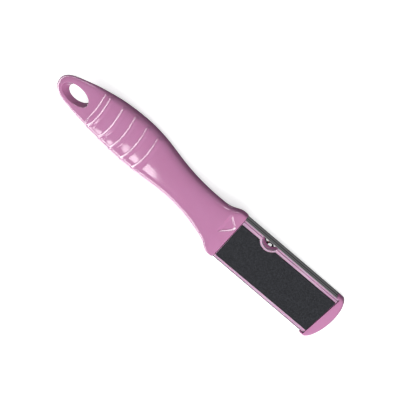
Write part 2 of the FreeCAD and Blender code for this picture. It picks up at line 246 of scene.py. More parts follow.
def section(x, side):
    """Rows of points across the handle; side +1 is the upper skin, -1 the lower one."""
    a, b, zc, q = measure(x)
    cut = np.clip((x + 43.6) / 1.0, 0, 1)
    shrink = 0.55 * (1 - np.sqrt(1 - cut ** 2))
    a, b = a - shrink, b - shrink
    if side < 0:
        near = np.abs(x - (REAR_END + 0.03))
        b = b - 0.12 * np.sqrt(np.clip(1 - near / 0.22, 0, 1))
    al = np.pi * np.arange(ACROSS + 1) / ACROSS
    c, s = np.cos(al)[None], np.sin(al)[None]
    s = np.where(s < 1e-9, 0, s)
    q_ = q[:, None]
    r = (np.abs(c) ** q_ + s ** q_) ** (-1 / q_)
    y = a[:, None] * r * c
    up = b[:, None] * r * s
    z = zc[:, None] + side * up
    X = np.repeat(x[:, None], ACROSS + 1, 1)
    if side > 0:
        ny = np.sign(c) * (np.abs(r * c) ** (q_ - 1)) / a[:, None]
        nz = (r * s) ** (q_ - 1) / b[:, None]
        ln = np.sqrt(ny ** 2 + nz ** 2) + 1e-12
        fade = ease(0.34, 0.70, up / b[:, None])
        h = ridge_height(X, y) * fade
        y = y + h * ny / ln
        z = z + h * nz / ln
        # shallow thumb scoop that runs out on the shoulder, its end wall in two straight runs
        su = np.clip((X + 55.1) * 0.609 + (y - 8.54) * 0.793, 0, None)
        sw = np.clip((X + 55.1) * 0.762 - (y - 8.54) * 0.647, 0, None)
        sr = (su ** 6 + sw ** 6) ** (1 / 6) + 1e-9
        gu, gw = (su / sr) ** 5, (sw / sr) ** 5
        gx, gy = 0.609 * gu + 0.762 * gw, 0.793 * gu - 0.647 * gw
        turn = np.degrees(np.arctan2(gy, gx + 1e-9))
        steep = np.tan(np.radians(np.interp(turn, (-40, -15, 7, 30, 52), (50.5, 41.2, 35.0, 30.5, 29.4))))
        wall = np.clip((9.1 - sr) / (np.hypot(gx, gy) + 1e-9) * steep / 1.4, 0, 1)
        z = z - 1.4 * wall * ease(-53.0, -50.3, X)
    return np.stack([X, y, z], -1), zc


def tip_outline(count):
    """Plan outline of the eyelet end, from -y at JOIN round the tip to +y, without its two ends."""
    a_join = measure(np.array([JOIN]))[0][0]
    half = TIP + [(JOIN, a_join)]
    pts = np.array([(x, -y) for x, y in half[::-1]] + half[1:])
    t = np.concatenate([[0], np.cumsum(np.hypot(*np.diff(pts, axis=0).T))])
    fine = np.linspace(0, t[-1], 4001)
    dense = np.stack([natural(t, pts[:, 0], fine), natural(t, pts[:, 1], fine)], -1)
    ln = np.concatenate([[0], np.cumsum(np.hypot(*np.diff(dense, axis=0).T))])
    want = np.linspace(0, ln[-1], count + 1)[1:-1]
    return np.stack([np.interp(want, ln, dense[:, 0]), np.interp(want, ln, dense[:, 1])], -1), dense


AROUND_TIP = 170
STEPS = 60


def eyelet_plan(place, long, wide):
    """Plan grid from the rim of the hole (first row) to the edge of the eyelet end (last row)."""
    line, _ = section(np.array([JOIN]), -1)
    line = line[0, :, :2]
    tip, dense = tip_outline(AROUND_TIP)
    rim = np.concatenate([line, tip])
    t = np.unwrap(np.arctan2(rim[:, 1] / 13.0, (rim[:, 0] - EYE_X) / 17.0))
    hole = np.stack([place + long * np.cos(t), wide * np.sin(t)], -1)
    seam = np.stack([EYE_SEAM[0] + EYE_SEAM[1] * np.cos(t), EYE_SEAM[2] * np.sin(t)], -1)
    u = np.linspace(0, 1, STEPS + 1)
    s = (0.5 * (1 - np.cos(np.pi * u)))[:, None, None]
    plan = (1 - s) * hole[None] + s * rim[None]
    flat = plan.reshape(-1, 2)
    gap = np.empty(len(flat))
    for i in range(0, len(flat), 2000):
        d = flat[i:i + 2000, None, :] - dense[None, ::4]
        gap[i:i + 2000] = np.sqrt((d ** 2).sum(-1).min(1))
    gap = gap.reshape(plan.shape[:2])
    gap[-1, ACROSS:] = 0.0
    gap[-1, 0] = 0.0
    return plan, gap, seam


def eyelet_height(plan, gap):
    x, y = plan[..., 0], plan[..., 1]
    a, b, zc, q = [k.reshape(x.shape) for k in measure(x.ravel())]
    w = ease(JOIN, JOIN - 10, x)
    d = (1 - w) * np.clip(a - np.abs(y), 0, None) + w * gap
    n = np.clip(1 - d / np.maximum(a, 9.5), 0, 1)
    return b * np.clip(1 - n ** q, 0, 1) ** (1 / q), zc


def hole_gap(plan, place, long, wide):
    dx, dy = (plan[..., 0] - place) / long, plan[..., 1] / wide
    r = np.hypot(dx, dy)
    g = np.hypot(dx / long, dy / wide) / np.maximum(r, 1e-6)
    return np.clip((r - 1) / g, 0, None)


def shell(name, side, end):
    """Half of the handle, closed along the seam; the upper one runs on into the full shoulder."""
    s = Skin()
    plan, gap, mid = eyelet_plan(*EYE_RIM[side])
    up, zc = eyelet_height(plan, gap)
    d = hole_gap(plan, *EYE_RIM[side])
    reach, deep = (0.9, 0.8) if side > 0 else (0.7, 0.6)
    k = np.clip(1 - d / reach, 0, 1)
    up = up - deep * (1 - np.sqrt(np.clip(1 - k ** 2, 0, 1)))
    groove = 0.11
    edge_up = up.copy()
    edge_up[-1, ACROSS:] = groove
    edge_up[-1, 0] = groove
    ring = s.add(np.stack([plan[..., 0], plan[..., 1], zc + side * edge_up], -1))
    s.quads(ring, around=True)
    # wall of the funnel, from the rim to the seam
    rim = np.column_stack([plan[0], zc[0] + side * edge_up[0]])
    hole_seam = np.column_stack([mid, measure(mid[:, 0])[2] + side * 0.03])
    f = np.linspace(0, 1, 9)[1:, None, None]
    wall_ids = s.add(rim[None] * (1 - f) + hole_seam[None] * f)
    s.quads(np.concatenate([ring[:1], wall_ids]), around=True)
    hole_ids = wall_ids[-1]
    # rows along the grip, neck and shoulder
    stops = [np.arange(JOIN, -122.39, 0.268)[1:], np.arange(-122.4, -60.0, 0.8)[1:],
             np.linspace(-60.0, REAR_END, 29)[1:]]
    if side < 0:
        stops[0] = np.arange(JOIN, -122.39, 0.6)[1:]
        stops[2] = np.concatenate([stops[2][:-1], REAR_END - np.array([0.2, 0.15, 0.1, 0.05, 0.0])])
        stops[2] = np.unique(np.round(stops[2], 5))
    xs = np.concatenate(stops)
    seam_rows = len(xs)
    if end > REAR_END:
        more = np.concatenate([REAR_END + 0.06 + np.array([0.0, 0.05, 0.1, 0.16]), np.linspace(-50.2, -43.6, 45),
                               -43.6 + np.sin(np.linspace(0, np.pi / 2, 9)[1:])])
        xs = np.concatenate([xs[:-1], more])
        seam_rows = len(stops[0]) + len(stops[1]) + len(stops[2]) - 1
    pts, zr = section(xs, side)
    soft = np.clip((REAR_END - 0.02 - xs) / 2.5, 0, 1) * groove
    pts[:, 0, 2] = zr + side * soft
    pts[:, -1, 2] = zr + side * soft
    body = s.add(pts)
    line = ring[-1, :ACROSS + 1]
    s.quads(np.concatenate([line[None], body]))
    # seam: a fine groove outside, a flat joint face inside
    tip_ids = np.concatenate([ring[-1, ACROSS:], ring[-1, :1]])
    rim_xy = np.concatenate([plan[-1, ACROSS:], plan[-1, :1]])
    rim_z = np.concatenate([zc[-1, ACROSS:], zc[-1, :1]])
    pull = rim_xy - np.array([EYE_X, 0.0])
    pull = pull / np.hypot(*pull.T)[:, None]
    tip_seam = np.column_stack([rim_xy - groove * pull, rim_z + side * 0.02])
    tip_seam_ids = s.add(tip_seam)
    s.quads(np.stack([tip_ids, tip_seam_ids]))
    inner = np.column_stack([plan[-1, 1:ACROSS], zc[-1, 1:ACROSS] + side * 0.02])
    inner_ids = s.add(inner)
    around = np.concatenate([tip_seam_ids[-1:], inner_ids, tip_seam_ids[:-1]])
    s.quads(np.stack([hole_ids, around]), around=True)
    n = seam_rows if end > REAR_END else seam_rows - 1
    left = np.stack([xs[:n], pts[:n, 0, 1] - soft[:n], zr[:n] + side * 0.02 * (soft[:n] > 0)], -1)
    right = np.stack([xs[:n], pts[:n, -1, 1] + soft[:n], zr[:n] + side * 0.02 * (soft[:n] > 0)], -1)
    lid, rid = s.add(left), s.add(right)
    last = n
    lid = np.concatenate([lid, body[last:last + 1, 0]])
    rid = np.concatenate([rid, body[last:last + 1, -1]])
    s.quads(np.stack([np.concatenate([line[:1], body[:last + 1, 0]]), np.concatenate([tip_seam_ids[-1:], lid])], 1))
    s.quads(np.stack([np.concatenate([line[-1:], body[:last + 1, -1]]), np.concatenate([tip_seam_ids[:1], rid])], 1))
    s.quads(np.stack([lid, rid], 1))
    s.face(around[:ACROSS + 1], [rid[0], lid[0]])
    if end > REAR_END:
        lower, _ = section(xs[last:], -1)
        low = s.add(lower[:, 1:-1])
        low = np.concatenate([body[last:, :1], low, body[last:, -1:]], axis=1)
        s.quads(low)
        s.face(low[0])
        s.face(body[-1], low[-1, 1:-1][::-1])
    else:
        s.face(body[-1])
    return s.make(name)


front = shell("handle_front", 1, -HEAD)
rear = shell("handle_rear", -1, REAR_END)


# ------------------------------------------------------------------ nose and head frame
def nose_mesh():
    s = Skin()
    psi = np.linspace(0, np.pi / 2, 54)
    xs = np.concatenate([[40.0, 40.02, 40.08, 40.18, 40.32, 40.5], np.linspace(40.8, 43.3, 14),
                         43.6 + 6.98 * np.sin(psi)])
    p = np.clip((xs - 43.6) / 6.98, 0, 1)
    a = 21.95 * np.clip(1 - p ** 1.93, 0, 1) ** (1 / 1.93)
    start = np.clip((40.5 - xs) / 0.5, 0, 1)
    a = a - 0.5 * (1 - np.sqrt(1 - start ** 2))
    outline = np.concatenate([np.stack([xs, a], -1), np.stack([xs, -a], -1)[::-1]])
    fine = []
    for k in range(len(outline) - 1):
        f = np.linspace(0, 1, 8, endpoint=False)[:, None]
        fine.append(outline[k] * (1 - f) + outline[k + 1] * f)
    fine = np.concatenate(fine)
    al = np.pi * np.arange(ACROSS + 1) / ACROSS
    y = a[:, None] * np.cos(al)[None]
    x = np.repeat(xs[:, None], ACROSS + 1, 1)
    flat = np.stack([x, y], -1).reshape(-1, 2)
    gap = np.empty(len(flat))
    for i in range(0, len(flat), 2000):
        dd = flat[i:i + 2000, None, :] - fine[None]
        gap[i:i + 2000] = np.sqrt((dd ** 2).sum(-1).min(1))
    gap = gap.reshape(x.shape)
    gap[:, 0] = gap[:, -1] = 0
    gap[-1] = 0
    back = (0.45 * (1 - np.sqrt(1 - start ** 2)))[:, None]
    n = np.clip(1 - gap / 7.5, 0, 1)
    g = np.clip(1 - n ** 3.3, 0, 1) ** (1 / 3.3)
    top = -3.9 + (3.83 - back) * g
    low = -3.9 - (5.35 - back) * g
    shift = -0.4
    t = s.add(np.stack([x[:-1], y[:-1] + shift, top[:-1]], -1))
    b = s.add(np.stack([x[:-1], y[:-1] + shift, low[:-1]], -1)[:, 1:-1])
    b = np.concatenate([t[:, :1], b, t[:, -1:]], axis=1)
    s.quads(t)
    s.quads(b)
    s.face(t[0], b[0, 1:-1][::-1])
    pole = s.add([(xs[-1], shift, -3.9)])
    for j in range(ACROSS):
        s.face([t[-1, j], t[-1, j + 1], pole[0]])
        s.face([b[-1, j], b[-1, j + 1], pole[0]])
    return s.make("nose")


nose = nose_mesh()
cut = block("cut", 30, HEAD, -20.16, 20.16, -40, 20, bevel=0)
nose = carve(nose, cut)


def frame_parts():
    out = []
    for side in (1, -1):
        y0, y1 = sorted((side * 17.4, side * 18.9))
        spans = [(-HEAD - 1.2, HEAD + 1.2)]
        if side > 0:
            spans = [(-HEAD - 1.2, NOTCH[0] - 8.2), (NOTCH[0] + 8.2, HEAD + 1.2)]
        for i, (x0, x1) in enumerate(spans):
            out.append(block("rail_%d_%d" % (side, i), x0, x1, y0, y1, -8.2, -3.35, 0.3))
    for x0, x1, peg in ((-HEAD - 1.2, -HEAD + 4.4, -40.4), (HEAD - 4.4, HEAD + 1.2, 40.4)):
        ledge = block("ledge_%d" % peg, x0, x1, -17.6, 17.6, -8.8, -3.35, 0.3)
        s = Skin()
        t = np.linspace(0, 2 * np.pi, 48, endpoint=False)
        ids = s.add([[(peg + 1.62 * math.cos(k), 1.62 * math.sin(k), z) for k in t] for z in (-7.45, 0.0)])
        s.quads(ids, around=True)
        s.face(ids[0])
        s.face(ids[1])
        out.append(carve(ledge, s.make("drill")))
    return out


head = merge("head_frame", *frame_parts())


# ------------------------------------------------------------------ pad carrier, glue film, emery
def notched(half_x, half_y, radius, inset=0.0, corner=0.5, turn=0.0):
    """Plan loop of a plate with the half-round notch in its +y edge; always the same number of points."""
    hx, hy, r = half_x - inset, half_y - inset, radius + inset
    cx, cy = NOTCH
    c = corner
    pts = []

    def arc(x, y, rad, a0, a1, n):
        t = np.linspace(a0, a1, n)
        pts.append(np.stack([x + rad * np.cos(t), y + rad * np.sin(t)], -1))

    def line(p, q, n):
        t = np.linspace(0, 1, n + 2)[1:-1, None]
        pts.append(np.array(p) * (1 - t) + np.array(q) * t)

    arc(-hx + c, -hy + c, c, np.pi, 1.5 * np.pi, 6)
    line((-hx + c, -hy), (hx - c, -hy), 60)
    arc(hx - c, -hy + c, c, 1.5 * np.pi, 2 * np.pi, 6)
    line((hx, -hy + c), (hx, hy - c), 24)
    arc(hx - c, hy - c, c, 0, 0.5 * np.pi, 6)
    # notch with softened lips
    f = 0.45
    drop = cy - hy + f
    span = math.sqrt(max((r + f) ** 2 - drop ** 2, 1e-6))
    lip = math.atan2(drop, span)
    line((hx - c, hy), (cx + span, hy), 40)
    arc(cx + span, hy - f, f, 0.5 * np.pi, np.pi - lip + 0.0, 7)
    arc(cx, cy, r, -lip, -np.pi + lip, 64)
    arc(cx - span, hy - f, f, lip, 0.5 * np.pi, 7)
    line((cx - span, hy), (-hx + c, hy), 24)
    arc(-hx + c, hy - c, c, 0.5 * np.pi, np.pi, 6)
    line((-hx, hy - c), (-hx, -hy + c), 24)
    loop = np.concatenate(pts)
    if turn:
        m = np.array([[math.cos(turn), -math.sin(turn)], [math.sin(turn), math.cos(turn)]])
        loop = loop @ m.T
    return loop


def stack(name, layers, sharp=32.0):
    """Closed plate from plan loops at rising or falling heights."""
    s = Skin()
    ids = s.add([np.column_stack([loop, np.full(len(loop), z)]) for loop, z in layers])
    s.quads(ids, around=True)
    s.face(ids[0])
    s.face(ids[-1])
    return s.make(name, sharp)


TOPZ = -0.95
layers = []
for inset, z in ((0.30, TOPZ), (0.16, TOPZ - 0.03), (0.06, TOPZ - 0.09), (0.0, TOPZ - 0.2), (0.0, TOPZ - 1.25)):
    layers.append((notched(42.30, 18.15, 6.6, inset), z))
for inset, z in ((0.74, TOPZ - 1.25), (0.74, TOPZ - 0.85), (0.66, TOPZ - 0.74), (0.52, TOPZ - 0.70), (0.22, TOPZ - 0.70),
                 (0.10, TOPZ - 0.74), (0.0, TOPZ - 0.86), (0.0, TOPZ - 2.2), (0.12, TOPZ - 2.3)):
    layers.append((notched(42.40 + max(0.0, inset - 0.06), 19.4, 6.6 - inset, inset), z))
plate = stack("plate", layers)


def well_mesh():
    """Half-round finger well under the notch."""
    s = Skin()
    r0, r1, top, bottom = 6.6, 7.6, TOPZ - 2.2, TOPZ - 2.3 - 2.4
    lean = 1.1
    drop = NOTCH[1] - 18.6
    t0 = np.linspace(np.pi + math.asin(drop / r0), 2 * np.pi - math.asin(drop / r0), 65)
    t1 = np.linspace(np.pi + math.asin(drop / r1), 2 * np.pi - math.asin(drop / r1), 65)
    rows = []
    prof = [(0, top), (0, bottom + 0.35), (0.1, bottom + 0.1), (0.35, bottom), (0.65, bottom), (0.9, bottom + 0.1),
            (1.0, bottom + 0.35), (1.0, top)]
    for f, z in prof:
        r, t = r0 + (r1 - r0) * f, t0 * (1 - f) + t1 * f
        r = r - lean * (top - z) / (top - bottom)
        rows.append(np.column_stack([NOTCH[0] + r * np.cos(t), NOTCH[1] + r * np.sin(t), np.full(65, z)]))
    ids = s.add(np.array(rows))
    s.quads(np.concatenate([ids, ids[:1]]))
    s.face(ids[:, 0])
    s.face(ids[:, -1])
    return s.make("well")


def peg_mesh(x):
    s = Skin()
    t = np.linspace(0, 2 * np.pi, 40, endpoint=False)
    rows = []
    for r, z in ((1.5, TOPZ - 2.2), (1.5, TOPZ - 5.5), (1.42, TOPZ - 5.75), (1.15, TOPZ - 5.9)):
        rows.append([(x + r * math.cos(k), r * math.sin(k), z) for k in t])
    ids = s.add(rows)
    s.quads(ids, around=True)
    s.face(ids[0])
    s.face(ids[-1])
    return s.make("peg")


well = well_mesh()
well_faces = range(len(plate.data.polygons), len(plate.data.polygons) + len(well.data.polygons))
carrier = merge("pad_carrier_moulding", plate, well, peg_mesh(-40.4), peg_mesh(40.4))

SKEW = math.radians(0.5)
film = stack("glue_film", [(notched(41.8, 16.15, 8.05, 0.0, 0.5, SKEW), -0.8), (notched(41.8, 16.15, 8.05, 0.0, 0.5, SKEW), -0.95)])


def emery_mesh():
    """Abrasive sheet: a fine grid of grains on a flat backing, cut round the notch."""
    s = Skin()
    nx, ny = 380, 150
    hx, hy, r = 42.0, 16.3, 7.9
    u = np.linspace(-1, 1, nx + 1)
    x = hx * u
    dx = np.clip(1 - ((x - NOTCH[0]) / r) ** 2, 0, None)
    top = np.minimum(hy, np.where(dx > 0, NOTCH[1] - r * np.sqrt(dx), hy))
    v = np.linspace(0, 1, ny + 1)
    y = -hy + v[None] * (top[:, None] + hy)
    X = np.repeat(x[:, None], ny + 1, 1)
    grain = rng.random(X.shape)
    coarse = rng.random(X.shape)
    z = -0.012 - 0.075 * grain ** 1.4 - 0.05 * (coarse > 0.82)
    rim = np.minimum.reduce([hx - np.abs(X), y + hy, (top[:, None] - y)])
    z = z - 0.10 * np.clip(1 - rim / 0.35, 0, 1) ** 2
    X[1:-1, 1:-1] += (rng.random(X[1:-1, 1:-1].shape) - 0.5) * 0.09
    y[1:-1, 1:-1] += (rng.random(y[1:-1, 1:-1].shape) - 0.5) * 0.09
    m = np.array([[math.cos(SKEW), -math.sin(SKEW)], [math.sin(SKEW), math.cos(SKEW)]])
    P = np.stack([X, y], -1) @ m.T
    ids = s.add(np.concatenate([P, z[..., None]], -1))
    s.quads(ids)
    loop = np.concatenate([ids[:, 0], ids[-1, 1:], ids[::-1, -1][1:], ids[0, ::-1][1:-1]])
    flat = np.concatenate(s.points)
    base = flat[loop].copy()
    base[:, 2] = -0.8
    low = s.add(base)
    s.quads(np.stack([loop, low]), around=True)
    s.face(low)
    return s.make("emery_pad", 60.0)


emery = emery_mesh()


# ------------------------------------------------------------------ rasp channel
PX, PY = 7.0, 4.9
SB, ST, SW, SG = -10.9, -1.4, 20.1, 0.5


def rasp_mesh():
    """Punched plate with crater lips, bent up into two flanges with a pressed bead."""
    s = Skin()
    cx, cy = PX / 2, PY
    n_y, n_x = 8, 6
    # one cell: square boundary nodes, then rings up the crater lip and through the sheet
    bx = np.concatenate([np.linspace(-cx / 2, cx / 2, n_x + 1)[:-1], np.full(n_y, cx / 2),
                         np.linspace(cx / 2, -cx / 2, n_x + 1)[:-1], np.full(n_y, -cx / 2)])
    by = np.concatenate([np.full(n_x, -cy / 2), np.linspace(-cy / 2, cy / 2, n_y + 1)[:-1],
                         np.full(n_x, cy / 2), np.linspace(cy / 2, -cy / 2, n_y + 1)[:-1]])
    ang = np.arctan2(by, bx)
    ca, sa = np.cos(ang), np.sin(ang)
    lip = 0.30 + 0.12 * np.cos(ang)
    rows = [(bx, by, 0 * bx)]
    for rad, f in ((1.735, 0.0), (1.70, 0.14), (1.65, 0.44), (1.595, 0.76), (1.54, 0.95), (1.48, 1.0), (1.43, 0.85)):
        rows.append((rad * ca, rad * sa, -lip * f))
    under = []
    for rad, f in ((1.425, 0.35), (1.43, -0.3), (1.48, -0.62), (1.57, -0.86), (1.70, -1.0)):
        z = np.where(f > 0, -lip * f, SG * -f)
        under.append((rad * ca, rad * sa, z))
    under.append((bx, by, 0 * bx + SG))
    holes = [(k * PX, (j - 3) * PY) for k in range(-5, 6) for j in range(7)]
    holes += [((k + 0.5) * PX, (j - 2.5) * PY) for k in range(-5, 5) for j in range(6)]
    for hx, hy in holes:
        grid = [np.stack([hx + x, hy + y, SB + z], -1) for x, y, z in rows + under]
        ids = s.add(np.array(grid))
        s.quads(ids, around=True)

    def patch(x0, x1, y0, y1, nx, ny):
        for z in (SB, SB + SG):
            gx, gy = np.meshgrid(np.linspace(x0, x1, nx + 1), np.linspace(y0, y1, ny + 1), indexing="ij")
            s.quads(s.add(np.stack([gx, gy, np.full_like(gx, z)], -1)))

    half = 3.5 * PY
    for k in range(-5, 5):
        xm = (k + 0.5) * PX
        for y0, y1 in ((3 * PY, half), (-half, -3 * PY)):
            patch(xm - cx / 2, xm + cx / 2, y0, y1, n_x, n_y // 2)
    xe, xl = 5 * PX + cx / 2, 84.9 / 2
    for x0, x1 in ((xe, xl), (-xl, -xe)):
        patch(x0, x1, -half, half, n_x, 7 * n_y)
    # the flat edge, bend and flange on each side, drawn along the head
    xs = np.concatenate([np.linspace(-xl, -xe, n_x + 1)]
                        + [np.linspace(-xe + i * cx, -xe + (i + 1) * cx, n_x + 1)[1:] for i in range(21)]
                        + [np.linspace(xe, xl, n_x + 1)[1:]])
    rb = 2.5
    outer = [(half, SB)]
    for t in np.linspace(0, np.pi / 2, 13):
        outer.append((SW - rb + rb * math.sin(t), SB + rb - rb * math.cos(t)))
    zf = np.concatenate([np.linspace(a, b, n)[1:] for a, b, n in (
        (SB + rb, -5.9, 14), (-5.9, -5.6, 6), (-5.6, -4.3, 5), (-4.3, -3.3, 9), (-3.3, -3.0, 6), (-3.0, -2.3, 3), (-2.3, ST, 8))])
    bead = np.interp(zf, [-8.4, -8.1, -5.9, -5.6, -4.3, -3.3, -3.0], [0.0, 0.02, 0.50, 0.04, 0.04, 0.30, 0.0])
    press = np.interp(zf, [-8.1, -5.9, -5.6], [0.0, 0.38, 0.0])
    roll = 0.27 * np.clip((zf + 2.3) / 0.9, 0, 1) ** 1.3
    outer += [(SW - d - k, z) for d, k, z in zip(bead, roll, zf)]
    inner = [(half, SB + SG)]
    for t in np.linspace(0, np.pi / 2, 13):
        inner.append((SW - rb + (rb - SG) * math.sin(t), SB + rb - (rb - SG) * math.cos(t)))
    inner += [(SW - SG - d, z) for d, z in zip(press, zf)]
    outer, inner = np.array(outer), np.array(inner)
    outer[-1, 1] -= 0.10
    inner[-1, 1] -= 0.10
    crown = np.array([(SW - 0.34, ST), (SW - SG + 0.07, ST)])
    prof = np.concatenate([outer, crown, inner[::-1]])
    for side in (1, -1):
        ids = s.add(np.stack([np.repeat(xs[:, None], len(prof), 1), np.repeat(side * prof[None, :, 0], len(xs), 0),
                              np.repeat(prof[None, :, 1], len(xs), 0)], -1))
        s.quads(ids)
        for e in (0, -1):
            s.face(ids[e])
    # close the two ends of the plate between the flanges
    for x in (-xl, xl):
        ys = np.linspace(-half, half, 7 * n_y + 1)
        ids = s.add([[(x, y, z) for y in ys] for z in (SB, SB + SG)])
        s.quads(ids)
    return s.make("rasp_steel", 30.0, weld=2e-6)


rasp = rasp_mesh()


# ------------------------------------------------------------------ finishes
def srgb(r, g, b):
    def lin(c):
        c /= 255.0
        return c / 12.92 if c <= 0.04045 else ((c + 0.055) / 1.055) ** 2.4
    return (lin(r), lin(g), lin(b), 1.0)


class Graph:
    def __init__(self, name):
        self.mat = bpy.data.materials.new(name)
        self.mat.use_nodes = True
        self.tree = self.mat.node_tree
        self.tree.nodes.clear()
        self.out = self.new("ShaderNodeOutputMaterial")
        self.bsdf = self.new("ShaderNodeBsdfPrincipled")
        self.link(self.bsdf.outputs[0], self.out.inputs[0])
        self.co = self.new("ShaderNodeTexCoord").outputs["Object"]

    def new(self, kind, **kw):
        n = self.tree.nodes.new(kind)
        for k, v in kw.items():
            setattr(n, k, v)
        return n

    def link(self, a, b):
        self.tree.links.new(a, b)

    def set(self, **kw):
        for k, v in kw.items():
            self.bsdf.inputs[k.replace("_", " ")].default_value = v

    def noise(self, scale, detail=3.0, rough=0.5, stretch=None):
        n = self.new("ShaderNodeTexNoise")
        n.inputs["Scale"].default_value = scale
        n.inputs["Detail"].default_value = detail
        n.inputs["Roughness"].default_value = rough
        src = self.co
        if stretch:
            m = self.new("ShaderNodeMapping")
            m.inputs["Scale"].default_value = stretch
            self.link(src, m.inputs["Vector"])
            src = m.outputs["Vector"]
        self.link(src, n.inputs["Vector"])
        return n.outputs["Fac"]

    def ramp(self, fac, stops):
        n = self.new("ShaderNodeValToRGB")
        e = n.color_ramp.elements
        while len(e) < len(stops):
            e.new(0.5)
        for k, (p, c) in zip(e, stops):
            k.position, k.color = p, c
        self.link(fac, n.inputs["Fac"])
        return n.outputs["Color"]

    def span(self, fac, lo, hi, a, b):
        n = self.new("ShaderNodeMapRange")
        for k, v in (("From Min", lo), ("From Max", hi), ("To Min", a), ("To Max", b)):
            n.inputs[k].default_value = v
        self.link(fac, n.inputs["Value"])
        return n.outputs["Result"]

    def mix(self, fac, a, b, blend="MIX"):
        n = self.new("ShaderNodeMix", data_type="RGBA", blend_type=blend)
        for value, i in ((fac, 0), (a, 6), (b, 7)):
            if hasattr(value, "links"):
                self.link(value, n.inputs[i])
            else:
                n.inputs[i].default_value = value
        return n.outputs[2]

    def bump(self, height, strength, distance, normal=None):
        n = self.new("ShaderNodeBump")
        n.inputs["Strength"].default_value = strength
        n.inputs["Distance"].default_value = distance
        self.link(height, n.inputs["Height"])
        if normal is not None:
            self.link(normal, n.inputs["Normal"])
        return n.outputs["Normal"]


def grey(v):
    return (v, v, v, 1.0)


def plastic(name, body, light, deep, rough=(0.10, 0.17), glow=0.08):
    g = Graph(name)
    cloud = g.noise(34.0, 4.0, 0.55)
    colour = g.ramp(cloud, [(0.30, deep), (0.52, body), (0.74, light)])
    edge = g.new("ShaderNodeNewGeometry").outputs["Pointiness"]
    worn = g.span(edge, 0.515, 0.56, 0.0, 0.55)
    scuff = g.span(g.noise(420.0, 2.0), 0.42, 0.62, 0.2, 1.0)
    both = g.new("ShaderNodeMath", operation="MULTIPLY", use_clamp=True)
    g.link(worn, both.inputs[0])
    g.link(scuff, both.inputs[1])
    colour = g.mix(both.outputs[0], colour, light)
    g.link(colour, g.bsdf.inputs["Base Color"])
    haze = g.noise(160.0, 4.0, 0.6)
    g.link(g.span(haze, 0.3, 0.7, *rough), g.bsdf.inputs["Roughness"])
    wave = g.noise(95.0, 2.0, 0.4)
    n1 = g.bump(wave, 0.05, 0.0005)
    fine = g.noise(1500.0, 2.0, 0.5)
    n2 = g.bump(fine, 0.05, 0.00008, n1)
    g.link(n2, g.bsdf.inputs["Normal"])
    g.set(IOR=1.5, Specular_IOR_Level=0.5, Coat_Weight=0.5, Coat_Roughness=0.03, Coat_IOR=1.5,
          Subsurface_Weight=glow, Subsurface_Scale=0.002, Subsurface_Radius=(1.0, 0.35, 0.6))
    return g.mat


pink = plastic("pink_gloss", srgb(197, 129, 172), srgb(200, 133, 176), srgb(194, 126, 168))
# carrier plate: a paler, lighter copy of the pink plastic, painted sheen on its lit top faces; the satin roughness is
# its own finish
rim_pink_painted_sheen = plastic("pink_satin_painted_sheen", srgb(212, 170, 198), srgb(226, 190, 214), srgb(200, 154, 186), (0.16, 0.28), 0.30)

g = Graph("rolled_steel")
brush = g.noise(260.0, 4.0, 0.6, (0.06, 1.0, 1.0))
stain = g.noise(45.0, 3.0, 0.5)
tone = g.ramp(brush, [(0.3, grey(0.62)), (0.7, grey(0.78))])
tone = g.mix(g.span(stain, 0.35, 0.7, 0.0, 0.35), tone, (0.64, 0.62, 0.63, 1.0))
g.link(tone, g.bsdf.inputs["Base Color"])
g.link(g.span(brush, 0.3, 0.7, 0.09, 0.20), g.bsdf.inputs["Roughness"])
scratch = g.noise(900.0, 2.0, 0.5, (0.03, 1.0, 1.0))
g.link(g.bump(scratch, 0.12, 0.00005), g.bsdf.inputs["Normal"])
g.set(Metallic=1.0, Anisotropic=0.35)
steel = g.mat

g = Graph("emery_grain")
vor = g.new("ShaderNodeTexVoronoi", feature="F1")
vor.inputs["Scale"].default_value = 1900.0
g.link(g.co, vor.inputs["Vector"])
speck = g.ramp(vor.outputs["Color"], [(0.10, srgb(36, 37, 41)), (0.55, srgb(45, 46, 50)), (0.93, srgb(57, 59, 64))])
cloud = g.ramp(g.noise(520.0, 3.0, 0.6), [(0.32, grey(0.80)), (0.68, grey(1.0))])
colour = g.mix(1.0, speck, cloud, "MULTIPLY")
g.link(colour, g.bsdf.inputs["Base Color"])
g.link(g.span(vor.outputs["Distance"], 0.1, 0.8, 0.5, 0.95), g.bsdf.inputs["Roughness"])
n1 = g.bump(vor.outputs["Distance"], 0.45, 0.00010)
n2 = g.bump(g.noise(900.0, 3.0, 0.6), 0.4, 0.00015, n1)
g.link(n2, g.bsdf.inputs["Normal"])
g.set(Specular_IOR_Level=0.2)
grit = g.mat

g = Graph("glue")
milk = g.noise(300.0, 3.0)
g.link(g.ramp(milk, [(0.3, srgb(214, 204, 188)), (0.7, srgb(232, 226, 212))]), g.bsdf.inputs["Base Color"])
g.link(g.span(milk, 0.3, 0.7, 0.35, 0.55), g.bsdf.inputs["Roughness"])
g.link(g.bump(milk, 0.2, 0.0001), g.bsdf.inputs["Normal"])
glue = g.mat

for ob, mat, body, node, where in (
    (front, pink, "handle", "handle_front_shell", "pink_plastic"),
    (nose, pink, "handle", "handle_front_shell", "pink_plastic"),
    (head, pink, "handle", "handle_front_shell", "pink_plastic"),
    (rear, pink, "handle", "handle_rear_shell", "pink_plastic"),
    (rasp, steel, "handle", "rasp_channel", "steel"),
    (carrier, rim_pink_painted_sheen, "carrier", "pad_carrier", "pink_plastic"),
    (film, glue, "carrier", "adhesive_film", "adhesive"),
    (emery, grit, "carrier", "emery_sheet", "emery"),
):
    ob.data.materials.clear()
    ob.data.materials.append(mat)
    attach(ob, body)
    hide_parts(node)
# the finger well of the same moulding keeps the darker handle pink, so the plate's lighter pink is painted sheen
carrier.data.materials.append(pink)
for i in well_faces:
    carrier.data.polygons[i].material_index = 1


